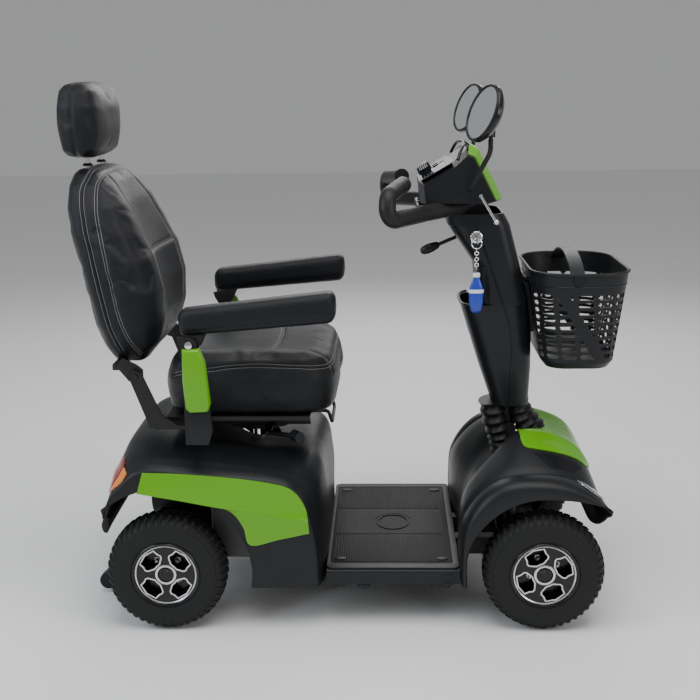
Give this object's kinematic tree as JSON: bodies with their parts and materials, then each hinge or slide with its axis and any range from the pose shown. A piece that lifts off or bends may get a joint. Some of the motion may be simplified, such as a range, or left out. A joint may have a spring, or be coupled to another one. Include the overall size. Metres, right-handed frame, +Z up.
{
  "type": "mobility scooter",
  "caption": "Four-wheel mobility scooter with a swivel seat, folding armrests, tilting tiller, coupled steering and a lift-off basket.",
  "frame": {"origin": "on the ground, at the middle of the scooter's length and width", "axes": "+X forward, +Y to the rider's left, +Z up"},
  "size_m": [1.232, 0.608, 1.16],
  "materials": {
    "frame_steel": "satin black powder coat",
    "body_black": "fine textured moulded black",
    "tiller_black": "satin moulded black",
    "panel_green": "gloss lime green",
    "tyre_rubber": "treaded black rubber",
    "rim_alloy": "machined edges on black",
    "leatherette": "black grained leatherette, pale stitching",
    "foam_grip": "smooth black foam sleeve",
    "mat_rubber": "ribbed rubber mat",
    "boot_rubber": "corrugated rubber boot",
    "lamp_red": "red and amber lens",
    "lamp_clear": "clear lens over chrome reflector",
    "battery_case": "moulded battery case",
    "drive_metal": "painted cast housing",
    "bright_steel": "chromed",
    "control_black": "satin black controls",
    "release_red": "red release handle",
    "key_blade": "nickel steel key",
    "tag_blue": "blue float with a white edge",
    "mirror_shell": "black mirror shell",
    "basket_plastic": "moulded black basket",
    "rod_steel": "zinc plated steel"
  },
  "bodies": {
    "chassis": {"chassis_frame": "frame_steel", "floor_pan": "body_black", "floor_mat": "mat_rubber", "drive_unit": "drive_metal", "batteries": "battery_case", "controller_box": "battery_case", "rear_shroud": "body_black", "rear_side_panels": "panel_green", "rear_bumper": "body_black", "tail_lamps": "lamp_red", "front_shroud": "body_black", "front_panel": "panel_green", "headlamps": "lamp_clear"},
    "freewheel_lever": {"freewheel_lever": "release_red"},
    "anti_tip_rollers": {"anti_tip_rollers": "control_black"},
    "rear_wheel_left": {"rear_tyre_left": "tyre_rubber", "rear_rim_left": "rim_alloy"},
    "rear_wheel_right": {"rear_tyre_right": "tyre_rubber", "rear_rim_right": "rim_alloy"},
    "knuckle_left": {"knuckle_left": "frame_steel"},
    "knuckle_right": {"knuckle_right": "frame_steel"},
    "front_wheel_left": {"front_tyre_left": "tyre_rubber", "front_rim_left": "rim_alloy"},
    "front_wheel_right": {"front_tyre_right": "tyre_rubber", "front_rim_right": "rim_alloy"},
    "steering": {"steering_shaft": "frame_steel", "tiller_bellows": "boot_rubber"},
    "tie_rod": {"tie_rod": "rod_steel"},
    "tiller": {"tiller_mast": "frame_steel", "tiller_cover_rear": "tiller_black", "tiller_cover_front": "tiller_black", "console_housing": "tiller_black", "console_cover": "panel_green", "handlebar": "foam_grip", "basket_bracket": "tiller_black", "mirror_stems": "frame_steel"},
    "throttle_lever": {"throttle_lever": "control_black"},
    "brake_lever": {"brake_lever": "bright_steel"},
    "speed_knob": {"speed_knob": "control_black"},
    "horn_button": {"horn_button": "control_black"},
    "light_button": {"light_button": "control_black"},
    "tilt_lever": {"tilt_lever": "control_black"},
    "ignition_key": {"ignition_key": "key_blade"},
    "key_tag": {"key_tag": "tag_blue"},
    "mirror_left": {"mirror_head_left": "mirror_shell"},
    "mirror_right": {"mirror_head_right": "mirror_shell"},
    "basket": {"basket": "basket_plastic"},
    "basket_handle": {"basket_handle": "basket_plastic"},
    "seat_post": {"seat_post": "bright_steel"},
    "swivel": {"swivel_plate": "frame_steel"},
    "swivel_lever": {"swivel_lever": "control_black"},
    "seat": {"seat_frame": "frame_steel", "seat_cushion": "leatherette", "armrest_covers": "panel_green"},
    "slide_lever": {"slide_lever": "frame_steel"},
    "backrest": {"backrest_frame": "frame_steel", "backrest_cushion": "leatherette"},
    "headrest": {"headrest": "leatherette"},
    "armrest_left": {"armrest_pad_left": "leatherette"},
    "armrest_right": {"armrest_pad_right": "leatherette"}
  },
  "joints": [
    {"name": "freewheel_swing", "type": "hinge", "parent": "chassis", "child": "freewheel_lever", "pos_m": [-0.425, 0.085, 0.17], "axis": [0, 1, 0], "range_deg": [0, 50]},
    {"name": "anti_tip_spin", "type": "hinge", "parent": "chassis", "child": "anti_tip_rollers", "pos_m": [-0.566, 0, 0.031], "axis": [0, 1, 0], "continuous": true},
    {"name": "rear_wheel_left_spin", "type": "hinge", "parent": "chassis", "child": "rear_wheel_left", "pos_m": [-0.3926, 0.2525, 0.13], "axis": [0, 1, 0], "continuous": true},
    {"name": "rear_wheel_right_spin", "type": "hinge", "parent": "chassis", "child": "rear_wheel_right", "pos_m": [-0.3926, -0.2525, 0.13], "axis": [0, 1, 0], "continuous": true},
    {"name": "steering_turn", "type": "hinge", "parent": "chassis", "child": "steering", "pos_m": [0.362, 0, 0.2], "axis": [0, 0, 1], "range_deg": [-28, 28]},
    {"name": "knuckle_left_turn", "type": "hinge", "parent": "chassis", "child": "knuckle_left", "pos_m": [0.4145, 0.19, 0.13], "axis": [0, 0, 1], "range_deg": [-28, 28]},
    {"name": "front_wheel_left_spin", "type": "hinge", "parent": "knuckle_left", "child": "front_wheel_left", "pos_m": [0.4145, 0.2525, 0.13], "axis": [0, 1, 0], "continuous": true},
    {"name": "knuckle_right_turn", "type": "hinge", "parent": "chassis", "child": "knuckle_right", "pos_m": [0.4145, -0.19, 0.13], "axis": [0, 0, 1], "range_deg": [-28, 28]},
    {"name": "front_wheel_right_spin", "type": "hinge", "parent": "knuckle_right", "child": "front_wheel_right", "pos_m": [0.4145, -0.2525, 0.13], "axis": [0, 1, 0], "continuous": true},
    {"name": "tie_rod_link", "type": "hinge", "parent": "steering", "child": "tie_rod", "pos_m": [0.292, 0, 0.076], "axis": [0, 0, 1], "range_deg": [-28, 28]},
    {"name": "tiller_tilt", "type": "hinge", "parent": "steering", "child": "tiller", "pos_m": [0.362, 0, 0.372], "axis": [0, 1, 0], "range_deg": [-12, 18], "deforming": ["tiller_bellows"]},
    {"name": "throttle_swing", "type": "hinge", "parent": "tiller", "child": "throttle_lever", "pos_m": [0.19, 0, 0.89], "axis": [0, 0, 1], "range_deg": [-15, 15], "stiffness_Nm_per_rad": 0.6},
    {"name": "brake_pull", "type": "hinge", "parent": "tiller", "child": "brake_lever", "pos_m": [0.28, -0.13, 0.916], "axis": [0, 1, 0], "range_deg": [0, 20], "stiffness_Nm_per_rad": 0.8, "springref_deg": -6.88},
    {"name": "speed_dial_turn", "type": "hinge", "parent": "tiller", "child": "speed_knob", "pos_m": [0.17207, -0.06, 0.95397], "axis": [-0.4987, 0, 0.8668], "range_deg": [-130, 130]},
    {"name": "horn_press", "type": "slide", "parent": "tiller", "child": "horn_button", "axis": [0.4987, 0, -0.8668], "range_m": [0, 0.003], "stiffness_N_per_m": 400, "springref_m": -0.001},
    {"name": "light_press", "type": "slide", "parent": "tiller", "child": "light_button", "axis": [0.4987, 0, -0.8668], "range_m": [0, 0.003], "stiffness_N_per_m": 400, "springref_m": -0.001},
    {"name": "tilt_lever_lift", "type": "hinge", "parent": "tiller", "child": "tilt_lever", "pos_m": [0.262, 0, 0.818], "axis": [0, 1, 0], "range_deg": [0, 14], "stiffness_Nm_per_rad": 2.5, "springref_deg": -6.88},
    {"name": "key_turn", "type": "hinge", "parent": "tiller", "child": "ignition_key", "pos_m": [0.276, -0.1, 0.823], "axis": [0, -1, 0], "range_deg": [0, 90]},
    {"name": "key_tag_swing", "type": "hinge", "parent": "tiller", "child": "key_tag", "pos_m": [0.276, -0.1045, 0.823], "axis": [0, 1, 0], "range_deg": [-25, 50]},
    {"name": "mirror_left_turn", "type": "hinge", "parent": "tiller", "child": "mirror_left", "pos_m": [0.292, 0.215, 1.05], "axis": [0, 0, 1], "range_deg": [-35, 35]},
    {"name": "mirror_right_turn", "type": "hinge", "parent": "tiller", "child": "mirror_right", "pos_m": [0.292, -0.215, 1.05], "axis": [0, 0, 1], "range_deg": [-35, 35]},
    {"name": "basket_lift", "type": "slide", "parent": "tiller", "child": "basket", "axis": [0, 0, 1], "range_m": [0, 0.15]},
    {"name": "basket_handle_swing", "type": "hinge", "parent": "basket", "child": "basket_handle", "pos_m": [0.487, 0, 0.742], "axis": [0, 1, 0], "range_deg": [-80, 80]},
    {"name": "seat_height", "type": "slide", "parent": "chassis", "child": "seat_post", "axis": [0, 0, 1], "range_m": [0, 0.075]},
    {"name": "seat_swivel", "type": "hinge", "parent": "seat_post", "child": "swivel", "pos_m": [-0.21, 0, 0.396], "axis": [0, 0, 1], "range_deg": [-90, 90]},
    {"name": "swivel_lever_pull", "type": "hinge", "parent": "swivel", "child": "swivel_lever", "pos_m": [-0.18, -0.075, 0.396], "axis": [0, 0, 1], "range_deg": [0, 12], "stiffness_Nm_per_rad": 2, "springref_deg": -4.58},
    {"name": "seat_slide", "type": "slide", "parent": "swivel", "child": "seat", "axis": [1, 0, 0], "range_m": [-0.035, 0.05]},
    {"name": "slide_lever_lift", "type": "hinge", "parent": "seat", "child": "slide_lever", "pos_m": [-0.086, 0, 0.43], "axis": [0, -1, 0], "range_deg": [0, 14], "stiffness_Nm_per_rad": 3, "springref_deg": -8.59},
    {"name": "backrest_recline", "type": "hinge", "parent": "seat", "child": "backrest", "pos_m": [-0.447, 0, 0.554], "axis": [0, 1, 0], "range_deg": [-20, 24]},
    {"name": "headrest_lift", "type": "slide", "parent": "backrest", "child": "headrest", "axis": [0, 0, 1], "range_m": [0, 0.06]},
    {"name": "armrest_left_lift", "type": "hinge", "parent": "seat", "child": "armrest_left", "pos_m": [-0.319, 0.271, 0.637], "axis": [0, -1, 0], "range_deg": [0, 95]},
    {"name": "armrest_right_lift", "type": "hinge", "parent": "seat", "child": "armrest_right", "pos_m": [-0.319, -0.271, 0.637], "axis": [0, -1, 0], "range_deg": [0, 95]}
  ],
  "couplings": [
    {"joint": "knuckle_left_turn", "follows": "steering_turn", "ratio": 1},
    {"joint": "knuckle_right_turn", "follows": "steering_turn", "ratio": 1},
    {"joint": "tie_rod_link", "follows": "steering_turn", "ratio": -1}
  ]
}
